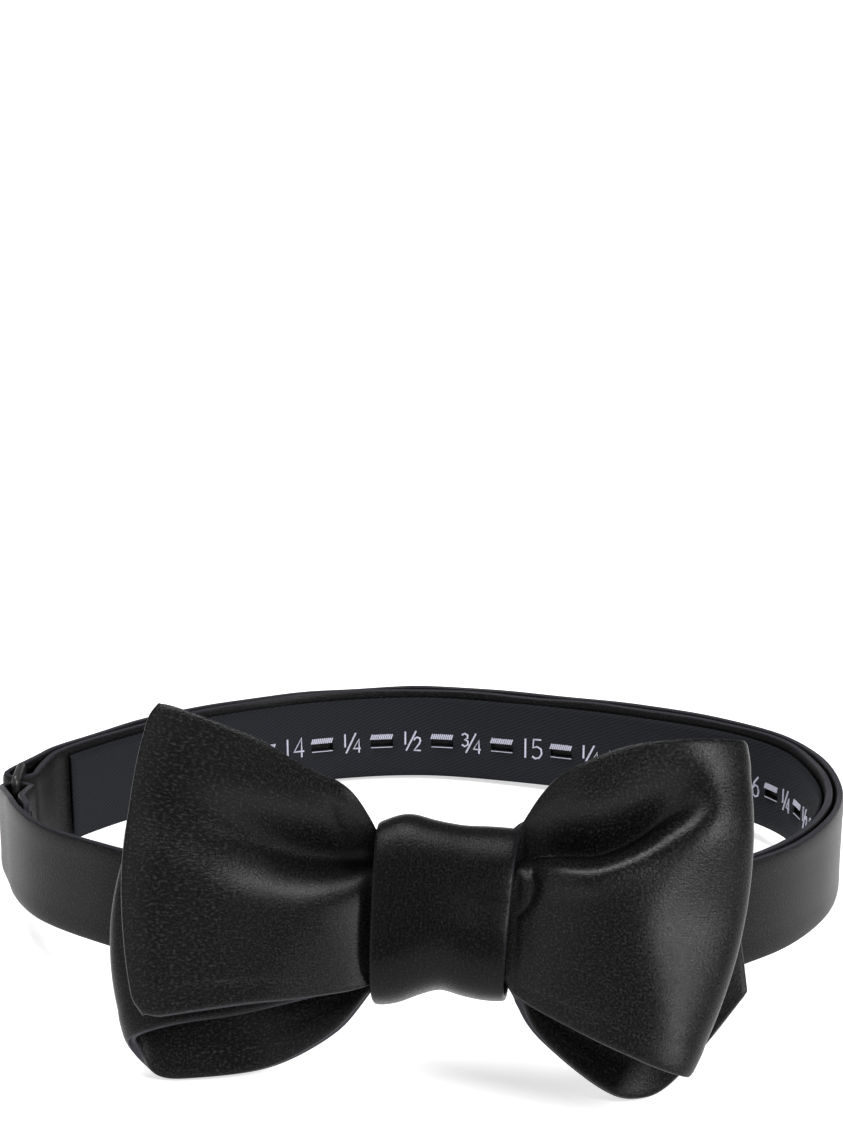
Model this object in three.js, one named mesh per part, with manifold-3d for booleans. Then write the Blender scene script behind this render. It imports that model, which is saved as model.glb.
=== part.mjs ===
// Self-tie butterfly bow tie, tied, with an adjustable doubled neckband. Millimetres, +Z up.
import * as THREE from 'three';
import { mergeVertices } from 'three/addons/utils/BufferGeometryUtils.js';
import Module from 'manifold-3d';

const wasm = await Module();
wasm.setup();

// The sizes below are drawn for a 20 mm band. The finished tie is this share of them: an 18.7 mm band.
const FINISHED_SHARE = 0.935;

// Driving sizes of the neckband.
const NECK_HALF_WIDTH = 79;       // middle of the band, left to right, from the centre line
const NECK_DEPTH = 150;           // middle of the band, from the knot to the back
const BAND_HEIGHT = 20;
const KNOT_BAND_HEIGHT = 13.5;    // the band is gathered where it enters the knot
const BAND_RISE = 0.071;          // the band climbs this much per millimetre towards the knot
const RISE_START = 0.985;         // share of the depth behind which the band lies level

// Cloth layers. A panel is a face, an interlining and a back, with a named gap between them.
const SATIN = 0.5;
const INTERLINING = 0.5;
const PLY_GAP = 0.3;
const PANEL_HALF = INTERLINING / 2 + PLY_GAP + SATIN;

// Driving sizes of the bow.
const BOW_LEAN = 31.6;            // degrees the bow leans back towards the neck
const BOW_YAW = 5.5;              // degrees the right wing is turned forwards
const BOW_CENTRE_HEIGHT = 31.9;
const WING_REACH = 37;            // from the knot's side to the outer edge of a front wing
const WING_RISE = 30;             // from the middle of the bow to the top of a front wing
const KNOT_HALF_WIDTH = 11.2;
const KNOT_RISE = 12.4;
const KNOT_DROP = 16.2;
const KNOT_FRONT = 8.4;
const KNOT_BACK = 11.4;
const WING_ROOT_CLEARANCE = 0.9;  // lets a wing swing beside the knot

// Adjuster: a rectangular ring, a woven size tape and a T-shaped hook.
const RING_WIRE = 1.6;
const RING_BAR_PITCH = 8.8;
const RING_HEIGHT_CLEARANCE = 0.5;
const FOLD_HEIGHT = 16.6;         // the band is gathered to this height where it folds round the ring
const FOLD_RADIUS = 2.9;          // middle of the band round a ring bar
const LEG_PITCH = 3.2;            // middle of the band to middle of the strap behind it
const STRAP_LENGTH = 290;         // folded-back part of the long band, from the ring to its end
const TAPE_START = 5;             // from the gathers at the ring
const TAPE_THICKNESS = 0.4;
const TAPE_GAP = 0.3;
const TAPE_UPPER_EDGE = 1.8;      // satin edge left above the tape
const TAPE_LOWER_EDGE = 0.6;
// A quarter inch of neck size moves the doubled strap half an inch, 12.7 mm on the finished tie.
const SLOT_PITCH = 12.7 / FINISHED_SHARE;
const SLOT_COUNT = 17;            // sizes 14 to 18 in quarters
const FIRST_SLOT = 59;
const SLOT_LENGTH = 5;
const SLOT_HEIGHT = 1.5;
const SLOT_LEVEL = 0.36;          // share of the band height from its lower edge
const HOOKED_SLOT = 12;           // counted from the first, so the hook sits in size 17
const HOOK_PLATE = 0.4;
const HOOK_CLEARANCE = 0.35;

const radians = THREE.MathUtils.degToRad;
const mix = THREE.MathUtils.lerp;
const smooth = (x) => THREE.MathUtils.smoothstep(x, 0, 1);

// ---------- helpers ----------

const group = new THREE.Group();
group.name = 'bow_tie';

function toSolid(geometry) {
  let bare = geometry.index ? geometry.clone() : geometry;
  bare.deleteAttribute('normal');
  bare.deleteAttribute('uv');
  bare = mergeVertices(bare, 1e-5);
  return new wasm.Manifold(new wasm.Mesh({
    numProp: 3,
    vertProperties: new Float32Array(bare.attributes.position.array),
    triVerts: new Uint32Array(bare.index.array),
  }));
}

function toGeometry(solid) {
  const mesh = solid.getMesh();
  const geometry = new THREE.BufferGeometry();
  geometry.setAttribute('position', new THREE.BufferAttribute(new Float32Array(mesh.vertProperties), 3));
  geometry.setIndex(new THREE.BufferAttribute(new Uint32Array(mesh.triVerts), 1));
  return geometry;
}

function add(name, geometry, colour, roughness, metalness = 0) {
  let bare = geometry.clone();
  bare.deleteAttribute('normal');
  bare.deleteAttribute('uv');
  bare = mergeVertices(bare, 1e-5);
  bare.computeVertexNormals();
  const material = new THREE.MeshStandardMaterial({ color: colour, roughness, metalness });
  const mesh = new THREE.Mesh(bare, material);
  mesh.name = name;
  group.add(mesh);
}

// Bends a finely divided box so that its corners follow place(u, v, w), each from 0 to 1.
function bentBox(columns, rows, place) {
  const box = new THREE.BoxGeometry(1, 1, 1, columns, rows, 1);
  const position = box.attributes.position;
  for (let i = 0; i < position.count; i += 1) {
    const point = place(position.getX(i) + 0.5, position.getY(i) + 0.5, position.getZ(i) + 0.5);
    position.setXYZ(i, point.x, point.y, point.z);
  }
  matchDiagonals(box);
  return box;
}

// Splits the underside's quads along the same diagonals as the upper side's, so layers nest.
function matchDiagonals(box) {
  const underside = box.groups[5];
  const index = box.index;
  for (let i = underside.start; i < underside.start + underside.count; i += 6) {
    const corners = [index.getX(i), index.getX(i + 1), index.getX(i + 4), index.getX(i + 2)];
    const [first, second, third, fourth] = corners;
    [first, second, third, first, third, fourth].forEach((corner, k) => index.setX(i + k, corner));
  }
}

// The three layers of a cloth panel, as [name, low, high] offsets from the panel's middle.
function layers(backName) {
  return [
    ['face', PANEL_HALF - SATIN, PANEL_HALF],
    ['interlining', -INTERLINING / 2, INTERLINING / 2],
    [backName, -PANEL_HALF, SATIN - PANEL_HALF],
  ];
}

const SATIN_COLOUR = 0x1c1b1b;
const INTERLINING_COLOUR = 0xb9b4a6;

function addPanel(prefix, backName, build) {
  for (const [name, low, high] of layers(backName)) {
    const isSatin = name !== 'interlining';
    add(`${prefix}_${name}`, build(low, high), isSatin ? SATIN_COLOUR : INTERLINING_COLOUR, isSatin ? 0.4 : 0.9);
  }
}

// ---------- frame of the bow ----------

const yaw = radians(BOW_YAW);
const lean = radians(BOW_LEAN);
const forwards = new THREE.Vector3(-Math.sin(yaw), -Math.cos(yaw), 0);
const alongBow = new THREE.Vector3(Math.cos(yaw), -Math.sin(yaw), 0);
const upBow = new THREE.Vector3(0, 0, Math.cos(lean)).addScaledVector(forwards, -Math.sin(lean));
const outBow = new THREE.Vector3(0, 0, Math.sin(lean)).addScaledVector(forwards, Math.cos(lean));
const backOfNeck = 114;
const bowCentre = new THREE.Vector3(4.4, backOfNeck - NECK_DEPTH, BOW_CENTRE_HEIGHT);

function inBow(along, up, out) {
  return bowCentre.clone()
    .addScaledVector(alongBow, along)
    .addScaledVector(upBow, up)
    .addScaledVector(outBow, out);
}

function bowPanel(surface, columns, rows) {
  const step = 1e-3;
  return (low, high) => bentBox(columns, rows, (u, v, w) => {
    const u0 = Math.max(0, u - step);
    const u1 = Math.min(1, u + step);
    const v0 = Math.max(0, v - step);
    const v1 = Math.min(1, v + step);
    const across = surface(u1, v).sub(surface(u0, v));
    const upwards = surface(u, v1).sub(surface(u, v0));
    const normal = across.cross(upwards).normalize();
    return surface(u, v).addScaledVector(normal, mix(low, high, w));
  });
}

// ---------- wings ----------

// Outline points are [share of the reach, share of the rise].
function edge(points, side) {
  const scaled = points.map(([reach, rise]) => new THREE.Vector2(
    side * (KNOT_HALF_WIDTH + WING_ROOT_CLEARANCE + reach * WING_REACH),
    rise * WING_RISE,
  ));
  const curve = new THREE.SplineCurve(scaled);
  return (t) => curve.getPoint(t);
}

function blade({ side, top, bottom, bulge, depth }) {
  const topEdge = edge(top, side);
  const bottomEdge = edge(bottom, side);
  return (u, v) => {
    const t = side > 0 ? u : 1 - u;
    const low = bottomEdge(t);
    const high = topEdge(t);
    const swell = side * bulge * WING_REACH * 4 * v * (1 - v) * t * t;
    return inBow(mix(low.x, high.x, v) + swell, mix(low.y, high.y, v), depth(t, v));
  };
}

// A loop runs out along one leg, turns at its outer end and comes back along the other leg.
function loop({ side, top, frontBottom, rearBottom, bulge, middle, half }) {
  const topEdge = edge(top, side);
  const frontEdge = edge(frontBottom, side);
  const rearEdge = edge(rearBottom, side);
  return (u, v) => {
    const fromFold = side > 0 ? 2 * u - 1 : 1 - 2 * u;
    const t = 1 - Math.abs(fromFold) ** 1.6;
    const rear = smooth(0.5 + fromFold * 1.2);
    const high = topEdge(t);
    const lowFront = frontEdge(t);
    const lowRear = rearEdge(t);
    const lowX = mix(lowFront.x, lowRear.x, rear);
    const lowY = mix(lowFront.y, lowRear.y, rear);
    const swell = side * bulge * WING_REACH * 4 * v * (1 - v) * t * t;
    const spread = half(t, v) * Math.sqrt(1 - t ** 8);
    const out = middle(t, v) - Math.sign(fromFold) * spread;
    return inBow(mix(lowX, high.x, v) + swell, mix(lowY, high.y, v), out);
  };
}

const pleat = (v, centre, width) => Math.exp(-(((v - centre) / width) ** 2));

const frontLeft = blade({
  side: -1,
  top: [[0, 0.37], [0.12, 0.55], [0.35, 0.69], [0.58, 0.84], [1.01, 1.0]],
  bottom: [[0, -0.53], [0.29, -0.59], [0.55, -0.64], [0.95, -0.7]],
  bulge: 0.115,
  depth: (t, v) => 3.6 + 3.2 * Math.sin(Math.PI * t * 0.9) - 3 * pleat(v, 0.55, 0.16) * (1 - t) ** 1.5 * smooth(t * 6),
});

const frontRight = loop({
  side: 1,
  top: [[0, 0.43], [0.13, 0.62], [0.28, 0.73], [0.5, 0.83], [0.93, 0.9]],
  frontBottom: [[0, -0.55], [0.37, -0.75], [0.76, -0.93]],
  rearBottom: [[0, -0.5], [0.37, -0.68], [0.76, -0.87]],
  bulge: 0.135,
  middle: (t, v) => 3.1 + 2.6 * Math.sin(Math.PI * t * 0.8) - 1.4 * pleat(v, 0.5 + 0.3 * t, 0.14) * (1 - t) * smooth(t * 6),
  half: (t) => mix(1.5, 3.1, smooth(t * 2)),
});

const backLeft = loop({
  side: -1,
  top: [[0, 0.33], [0.4, 0.5], [1.05, 0.5]],
  frontBottom: [[0, -0.48], [0.3, -0.6], [0.65, -0.71], [1.07, -0.78]],
  rearBottom: [[0, -0.5], [0.13, -0.63], [0.43, -0.87], [0.77, -0.96], [1.07, -0.87]],
  bulge: 0.12,
  middle: (t, v) => -3.0 - mix(5.0, 1.2, v) * smooth(t * 1.6),
  half: (t, v) => mix(1.5, mix(4.8, 2.0, v), smooth(t * 1.8)),
});

const backRight = blade({
  side: 1,
  top: [[0, 0.33], [0.43, 0.5], [1.0, 0.5]],
  bottom: [[0, -0.54], [0.16, -0.79], [0.35, -0.99], [0.52, -1.03], [0.7, -0.9], [0.95, -0.37]],
  bulge: 0.03,
  depth: (t, v) => -2.8 - mix(8.0, 2.0, smooth(v * 1.4)) * Math.sin(Math.PI * Math.min(1, t * 1.2) * 0.5)
    + 1.2 * pleat(v, 0.5, 0.2) * (1 - t) * smooth(t * 6),
});

addPanel('front_left_blade', 'back', bowPanel(frontLeft, 10, 7));
addPanel('front_right_loop', 'lining', bowPanel(frontRight, 18, 6));
addPanel('back_left_loop', 'lining', bowPanel(backLeft, 18, 6));
addPanel('back_right_blade', 'back', bowPanel(backRight, 10, 7));

// ---------- knot ----------

// Rounded outline of the wrap seen from the side, x forwards and y up.
function wrapShape(inset) {
  const shape = new THREE.Shape();
  const front = KNOT_FRONT - inset;
  const back = -KNOT_BACK + inset;
  const top = KNOT_RISE - inset;
  const bottom = -KNOT_DROP + inset;
  const radius = 5.6 - inset;
  shape.absarc(front - radius, top - radius, radius, 0, Math.PI / 2, false);
  shape.absarc(back + radius, top - radius, radius, Math.PI / 2, Math.PI, false);
  shape.absarc(back + radius, bottom + radius, radius, Math.PI, Math.PI * 1.5, false);
  shape.absarc(front - radius, bottom + radius, radius, Math.PI * 1.5, Math.PI * 2, false);
  return shape;
}

function knotRing(outerInset, innerInset) {
  const shape = wrapShape(outerInset);
  shape.holes.push(wrapShape(innerInset));
  const ring = new THREE.ExtrudeGeometry(shape, {
    depth: 2 * KNOT_HALF_WIDTH,
    steps: 2,
    curveSegments: 4,
    bevelEnabled: false,
  });
  return intoKnot(ring);
}

// Turns a shape extruded along z into the bow, with its left end taller than its right end.
function intoKnot(geometry) {
  const position = geometry.attributes.position;
  for (let i = 0; i < position.count; i += 1) {
    const along = position.getZ(i) - KNOT_HALF_WIDTH;
    const taper = 1 - 0.06 * (along / KNOT_HALF_WIDTH);
    const up = position.getY(i) * taper;
    const out = position.getX(i);
    const point = inBow(-along, up, out);
    position.setXYZ(i, point.x, point.y, point.z);
  }
  return geometry;
}

const WRAP_LINING = SATIN + PLY_GAP;
const WRAP_INSIDE = WRAP_LINING + SATIN;
add('knot_wrap_face', knotRing(0, SATIN), SATIN_COLOUR, 0.4);
add('knot_wrap_lining', knotRing(WRAP_LINING, WRAP_INSIDE), SATIN_COLOUR, 0.5);

// Gathered waist of one half of the tie: a rounded bar with pleats, filling its share of the wrap.
function waist(back, front, top, bottom) {
  const outline = new THREE.Shape();
  const radius = 1.6;
  outline.absarc(front - radius, top - radius, radius, 0, Math.PI / 2, false);
  outline.absarc(back + radius, top - radius, radius, Math.PI / 2, Math.PI, false);
  outline.absarc(back + radius, bottom + radius, radius, Math.PI, Math.PI * 1.5, false);
  outline.absarc(front - radius, bottom + radius, radius, Math.PI * 1.5, Math.PI * 2, false);
  const bar = new THREE.ExtrudeGeometry(outline, {
    depth: 2 * KNOT_HALF_WIDTH,
    steps: 2,
    curveSegments: 3,
    bevelEnabled: false,
  });
  return intoKnot(bar);
}

const WAIST_TOP = KNOT_RISE - WRAP_INSIDE - 2;
const WAIST_BOTTOM = -KNOT_DROP + WRAP_INSIDE + 2;
const BAND_ENTRY_OUT = -KNOT_BACK + WRAP_INSIDE + 2 * PLY_GAP + PANEL_HALF;
const BAND_ENTRY_UP = (KNOT_RISE - KNOT_DROP) / 2;
const WAIST_BACK = BAND_ENTRY_OUT + PANEL_HALF + 0.8;
add('knot_waist_front', waist(PLY_GAP, KNOT_FRONT - WRAP_INSIDE - PLY_GAP, WAIST_TOP, WAIST_BOTTOM), SATIN_COLOUR, 0.5);
add('knot_waist_back', waist(WAIST_BACK, 0, WAIST_TOP, WAIST_BOTTOM), SATIN_COLOUR, 0.5);

// ---------- neckband ----------

const Z = new THREE.Vector3(0, 0, 1);

// Plan points are [share of the half width, share of the depth in front of the back].
// Plan of the long band, from the right of the knot round the back to the ring at the left.
const LONG_PLAN = [
  [0.456, 0.08], [0.734, 0.175], [0.905, 0.3], [0.99, 0.44], [1.0, 0.56], [0.956, 0.693],
  [0.835, 0.793], [0.57, 0.893], [0.266, 0.967], [0, 1], [-0.278, 0.977], [-0.582, 0.887],
  [-0.81, 0.76], [-0.962, 0.633], [-1.0, 0.573],
];
// Plan of the short band, from the ring to the left of the knot.
const SHORT_PLAN = [[-1.0, 0.513], [-0.968, 0.427], [-0.905, 0.347], [-0.785, 0.267], [-0.671, 0.213], [-0.45, 0.16], [-0.3, 0.095]];

function onPlan([across, deep]) {
  return new THREE.Vector3(across * NECK_HALF_WIDTH, backOfNeck - (1 - deep) * NECK_DEPTH, 0);
}

function lift(point) {
  const start = backOfNeck - (1 - RISE_START) * NECK_DEPTH;
  return BAND_HEIGHT / 2 + BAND_RISE * Math.max(0, start - point.y);
}

// A column is one upright line of the band: its middle, its up direction and its height.
function bandColumns(plan, count, knotEnd) {
  const points = plan.map(onPlan);
  points.forEach((point) => { point.z = lift(point); });
  const side = knotEnd === 'start' ? 1 : -1;
  const entry = inBow(side * (KNOT_HALF_WIDTH - 2), BAND_ENTRY_UP, BAND_ENTRY_OUT);
  const outside = inBow(side * (KNOT_HALF_WIDTH + 5), BAND_ENTRY_UP, BAND_ENTRY_OUT - 0.5);
  if (knotEnd === 'start') points.unshift(entry, outside);
  else points.push(outside, entry);
  const curve = new THREE.CatmullRomCurve3(points, false, 'centripetal');
  curve.arcLengthDivisions = 400;
  const length = curve.getLength();
  const columns = [];
  for (let i = 0; i <= count; i += 1) {
    const middle = curve.getPointAt(i / count);
    const fromKnot = (knotEnd === 'start' ? i / count : 1 - i / count) * length;
    const turn = smooth((fromKnot - 6) / 45);
    const up = upBow.clone().lerp(Z, turn).normalize();
    const height = mix(KNOT_BAND_HEIGHT, BAND_HEIGHT, smooth((fromKnot - 4) / 26));
    columns.push({ middle, up, height });
  }
  return columns;
}

function columnFrame(columns, i) {
  const before = columns[Math.max(0, i - 1)].middle;
  const after = columns[Math.min(columns.length - 1, i + 1)].middle;
  const here = columns[i].middle;
  const first = here.clone().sub(before).normalize();
  const second = after.clone().sub(here).normalize();
  const tangent = first.clone().add(second).normalize();
  const normal = tangent.clone().cross(columns[i].up).normalize();
  const turning = Math.max(0.5, tangent.dot(i === 0 ? second : first));
  return { tangent, normal, mitre: 1 / turning };
}

function bandSlab(columns, low, high, lowerInset = 0, upperInset = 0) {
  const frames = columns.map((column, i) => columnFrame(columns, i));
  const last = columns.length - 1;
  return bentBox(last, 1, (u, v, w) => {
    const i = Math.round(u * last);
    const { middle, up, height } = columns[i];
    const { normal, mitre } = frames[i];
    const half = height / 2;
    return middle.clone()
      .addScaledVector(up, mix(lowerInset - half, half - upperInset, v))
      .addScaledVector(normal, mitre * mix(low, high, w));
  });
}

// Offsets a column towards the neck, to make the strap that lies behind the band.
function behind(columns, distance) {
  return columns.map((column, i) => {
    const { normal, mitre } = columnFrame(columns, i);
    const middle = column.middle.clone().addScaledVector(normal, -distance * mitre);
    return { middle, up: column.up, height: column.height };
  });
}

// Half a turn of cloth round a ring bar. The bar stands half a leg pitch inside the band's middle.
function foldColumns(bar, travel, outwards) {
  const steps = 8;
  const columns = [];
  for (let i = 0; i <= steps; i += 1) {
    const angle = Math.PI * (i / steps);
    const middle = bar.clone()
      .addScaledVector(outwards, FOLD_RADIUS * Math.cos(angle))
      .addScaledVector(travel, FOLD_RADIUS * Math.sin(angle));
    columns.push({ middle, up: Z, height: FOLD_HEIGHT });
  }
  return columns;
}

const ringEdge = onPlan([-1.0, 0.543]);
const ringMiddle = new THREE.Vector3(ringEdge.x + LEG_PITCH / 2, ringEdge.y, lift(ringEdge));
const towardsFront = new THREE.Vector3(0, -1, 0);
const towardsBack = new THREE.Vector3(0, 1, 0);
const leftwards = new THREE.Vector3(-1, 0, 0);
const longBar = ringMiddle.clone().addScaledVector(towardsBack, RING_BAR_PITCH / 2);
const shortBar = ringMiddle.clone().addScaledVector(towardsFront, RING_BAR_PITCH / 2);

function trimNear(columns, bar, distance) {
  return columns.filter((column) => Math.hypot(column.middle.x - bar.x, column.middle.y - bar.y) > distance);
}

const GATHER = 9;
const longOuter = trimNear(bandColumns(LONG_PLAN, 36, 'start'), longBar, GATHER)
  .filter((column) => column.middle.y > longBar.y || column.middle.x > 0);
const strapWhole = behind(longOuter, LEG_PITCH).reverse();
let strapLength = 0;
const strap = strapWhole.filter((column, i) => {
  if (i > 0) strapLength += column.middle.distanceTo(strapWhole[i - 1].middle);
  return strapLength < STRAP_LENGTH;
});
const longColumns = [...longOuter, ...foldColumns(longBar, towardsFront, leftwards), ...strap];

const shortOuter = trimNear(bandColumns(SHORT_PLAN, 14, 'end'), shortBar, GATHER)
  .filter((column) => column.middle.y < shortBar.y);
const shortReturn = behind(shortOuter, LEG_PITCH).slice(0, 2).reverse();
const shortColumns = [
  ...shortReturn,
  ...foldColumns(shortBar, towardsBack, leftwards.clone().negate()),
  ...shortOuter,
];

// ---------- size tape, slots and hook ----------

const tapeColumns = [];
let tapeRun = 0;
strap.forEach((column, i) => {
  if (i > 0) tapeRun += column.middle.distanceTo(strap[i - 1].middle);
  if (tapeRun >= TAPE_START) tapeColumns.push(column);
});

// Point on the strap's middle at a distance from its first column, with its up direction.
function alongStrap(distance) {
  let run = 0;
  for (let i = 1; i < strap.length; i += 1) {
    const start = strap[i - 1];
    const end = strap[i];
    const step = start.middle.distanceTo(end.middle);
    if (run + step >= distance) {
      const share = (distance - run) / step;
      const up = start.up.clone().lerp(end.up, share).normalize();
      return { point: start.middle.clone().lerp(end.middle, share), up };
    }
    run += step;
  }
  throw new Error('The strap is too short for its slots.');
}

// Frame of a slot: its middle, and the strap's direction and normal averaged over a few millimetres.
function onStrap(distance) {
  const { point, up } = alongStrap(distance);
  const tangent = alongStrap(distance + 4).point.sub(alongStrap(distance - 4).point).normalize();
  const normal = tangent.clone().cross(up).normalize();
  point.addScaledVector(up, (SLOT_LEVEL - 0.5) * BAND_HEIGHT);
  return { point, tangent, normal, up };
}

function placedBox(length, height, low, high, frame) {
  const box = new THREE.BoxGeometry(length, height, high - low);
  box.translate(0, 0, (low + high) / 2);
  const upright = frame.normal.clone().cross(frame.tangent).normalize();
  const basis = new THREE.Matrix4().makeBasis(frame.tangent, upright, frame.normal);
  box.applyMatrix4(basis.setPosition(frame.point));
  return box;
}

const slotFrames = [];
for (let i = 0; i < SLOT_COUNT; i += 1) {
  slotFrames.push(onStrap(FIRST_SLOT + i * SLOT_PITCH));
}
const slotReach = PANEL_HALF + TAPE_GAP + TAPE_THICKNESS + 0.6;
const slotCutters = slotFrames.map((frame) => toSolid(
  placedBox(SLOT_LENGTH, SLOT_HEIGHT, -PANEL_HALF - 0.4, slotReach, frame),
));
const allSlots = wasm.Manifold.union(slotCutters);

function cutSlots(geometry) {
  return toGeometry(toSolid(geometry).subtract(allSlots));
}

addPanel('long_band', 'lining', (low, high) => cutSlots(bandSlab(longColumns, low, high)));
addPanel('short_band', 'lining', (low, high) => bandSlab(shortColumns, low, high));

const TAPE_LOW = PANEL_HALF + TAPE_GAP;
const TAPE_HIGH = TAPE_LOW + TAPE_THICKNESS;
const tapeSlab = bandSlab(tapeColumns, TAPE_LOW, TAPE_HIGH, TAPE_LOWER_EDGE, TAPE_UPPER_EDGE);
add('size_tape', cutSlots(tapeSlab), 0x22242a, 0.85);

// The hook's plate lies between band and strap, its stem passes a slot and its head lies on the tape.
const hookFrame = slotFrames[HOOKED_SLOT];
const plateHigh = -PANEL_HALF - HOOK_CLEARANCE;
const plateLow = plateHigh - HOOK_PLATE;
const headLow = TAPE_HIGH + HOOK_CLEARANCE;
const headHigh = headLow + HOOK_PLATE;
const stemHeight = SLOT_HEIGHT - 2 * HOOK_CLEARANCE;
const stemLength = SLOT_LENGTH - 4 * HOOK_CLEARANCE;
const hookPlate = toSolid(placedBox(7.5, 8, plateLow, plateHigh, hookFrame));
const hookStem = toSolid(placedBox(stemLength, stemHeight, plateLow + 0.1, headHigh - 0.1, hookFrame));
const hookHead = toSolid(placedBox(8, 2.6, headLow, headHigh, hookFrame));
add('t_hook', toGeometry(hookPlate.add(hookStem).add(hookHead)), 0x8d8a84, 0.3, 1);

// ---------- ring and tack ----------

const ringInnerHeight = FOLD_HEIGHT + 2 * RING_HEIGHT_CLEARANCE;
const ringOuterHalf = ringInnerHeight / 2 + RING_WIRE;
const ringOuterWide = RING_BAR_PITCH / 2 + RING_WIRE / 2;

function roundedRectangle(PathClass, halfWide, halfHigh, radius) {
  const path = new PathClass();
  path.absarc(halfWide - radius, halfHigh - radius, radius, 0, Math.PI / 2, false);
  path.absarc(radius - halfWide, halfHigh - radius, radius, Math.PI / 2, Math.PI, false);
  path.absarc(radius - halfWide, radius - halfHigh, radius, Math.PI, Math.PI * 1.5, false);
  path.absarc(halfWide - radius, radius - halfHigh, radius, Math.PI * 1.5, Math.PI * 2, false);
  return path;
}

const ringOutline = roundedRectangle(THREE.Shape, ringOuterWide, ringOuterHalf, 1.8);
ringOutline.holes.push(roundedRectangle(THREE.Path, ringOuterWide - RING_WIRE, ringInnerHeight / 2, 0.5));
const ring = new THREE.ExtrudeGeometry(ringOutline, {
  depth: RING_WIRE - 0.6,
  curveSegments: 3,
  bevelSegments: 1,
  bevelSize: 0.3,
  bevelThickness: 0.3,
  bevelOffset: -0.3,
});
ring.translate(0, 0, -(RING_WIRE - 0.6) / 2);
const ringBasis = new THREE.Matrix4().makeBasis(towardsFront, Z, leftwards);
ring.applyMatrix4(ringBasis.setPosition(ringMiddle));
add('adjuster_ring', ring, 0x151515, 0.35, 0.6);

const tackColumn = shortColumns[0];
const tackFrame = columnFrame(shortColumns, 0);
const tackPoint = tackColumn.middle.clone().addScaledVector(tackFrame.tangent, 1.6);
const tack = placedBox(1.4, BAND_HEIGHT - 6, PANEL_HALF + PLY_GAP, PANEL_HALF + PLY_GAP + 0.5, {
  point: tackPoint,
  tangent: tackFrame.tangent,
  normal: tackFrame.normal,
});
add('short_band_tack', tack, 0x161616, 0.8);

// ---------- stand the tie on the floor, centred on the origin ----------

const bounds = new THREE.Box3();
group.children.forEach((mesh) => {
  mesh.geometry.computeBoundingBox();
  bounds.union(mesh.geometry.boundingBox);
});
const shift = new THREE.Vector3(
  -(bounds.min.x + bounds.max.x) / 2,
  -(bounds.min.y + bounds.max.y) / 2,
  -bounds.min.z,
);
group.children.forEach((mesh) => {
  mesh.geometry.translate(shift.x, shift.y, shift.z);
  mesh.geometry.scale(FINISHED_SHARE, FINISHED_SHARE, FINISHED_SHARE);
});

export default group;
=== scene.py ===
"""Black satin self-tie bow tie: wings, knot, neckband, size tape and adjuster."""

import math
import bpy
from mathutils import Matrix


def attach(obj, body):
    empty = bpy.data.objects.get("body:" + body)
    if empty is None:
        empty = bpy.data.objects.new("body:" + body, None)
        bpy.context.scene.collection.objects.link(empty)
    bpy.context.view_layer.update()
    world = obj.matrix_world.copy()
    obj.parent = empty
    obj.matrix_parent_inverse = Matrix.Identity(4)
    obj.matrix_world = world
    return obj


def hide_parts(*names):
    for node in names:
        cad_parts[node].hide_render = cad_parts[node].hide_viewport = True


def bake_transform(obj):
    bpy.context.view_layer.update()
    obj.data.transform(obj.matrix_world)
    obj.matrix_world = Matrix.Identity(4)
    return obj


bl_info = {
    "name": "Self-Tie Bow Tie",
    "version": (1, 0, 0),
    "blender": (4, 5, 0),
    "location": "View3D > Sidebar > Bow Tie",
    "description": "Builds a tied satin bow tie with its adjustable neckband",
    "category": "Object",
}

import bmesh
import bpy
from mathutils import Matrix, Vector, noise

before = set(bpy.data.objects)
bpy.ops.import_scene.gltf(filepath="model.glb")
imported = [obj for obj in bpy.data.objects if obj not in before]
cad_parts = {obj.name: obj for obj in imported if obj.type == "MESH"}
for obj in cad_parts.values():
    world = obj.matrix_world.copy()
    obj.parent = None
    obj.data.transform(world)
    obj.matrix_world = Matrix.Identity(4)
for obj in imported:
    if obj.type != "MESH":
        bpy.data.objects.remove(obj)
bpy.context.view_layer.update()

# Sizes are drawn in millimetres for a 20 mm band. The finished tie has an 18.7 mm band.
FINISHED_SHARE = 0.935
MM = 0.001 * FINISHED_SHARE
Z = Vector((0, 0, 1))

# ---------------------------------------------------------------- the bow's own frame

# Middle of the knot. The bow is turned a little and leans back.
BOW_CENTRE = Vector((5.0, -62.95, 32.11))
YAW = math.radians(5.5)
LEAN = math.radians(31.6)
FORWARDS = Vector((-math.sin(YAW), -math.cos(YAW), 0))
ALONG = Vector((math.cos(YAW), -math.sin(YAW), 0))
UP = Z * math.cos(LEAN) - FORWARDS * math.sin(LEAN)
OUT = Z * math.sin(LEAN) + FORWARDS * math.cos(LEAN)


def in_bow(along, up, out):
    return BOW_CENTRE + ALONG * along + UP * up + OUT * out


def mix(a, b, t):
    return a + (b - a) * t


def smooth(t):
    t = min(1.0, max(0.0, t))
    return t * t * (3 - 2 * t)


def hump(x, centre, width):
    return math.exp(-(((x - centre) / width) ** 2))


def lopsided(x, centre, below, above):
    return hump(x, centre, below if x < centre else above)


def cubic(start, end, low, high, w):
    """Point at w on a cubic from start to end that leaves along low and arrives along high."""
    bend = -3 * start + 3 * end - 2 * low - high
    return ((2 * start - 2 * end + low + high) * w + bend) * w * w + low * w + start


def through(points, t):
    """Point at t, from 0 to 1, on a smooth curve through evenly spaced points."""
    last = len(points) - 1
    place = min(1.0, max(0.0, t)) * last
    i = min(int(place), last - 1)
    w = place - i
    p0, p1 = points[max(0, i - 1)], points[i]
    p2, p3 = points[i + 1], points[min(last, i + 2)]
    return [cubic(b, c, (c - a) / 2, (d - b) / 2, w) for a, b, c, d in zip(p0, p1, p2, p3)]


# ---------------------------------------------------------------- mesh helpers


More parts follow.
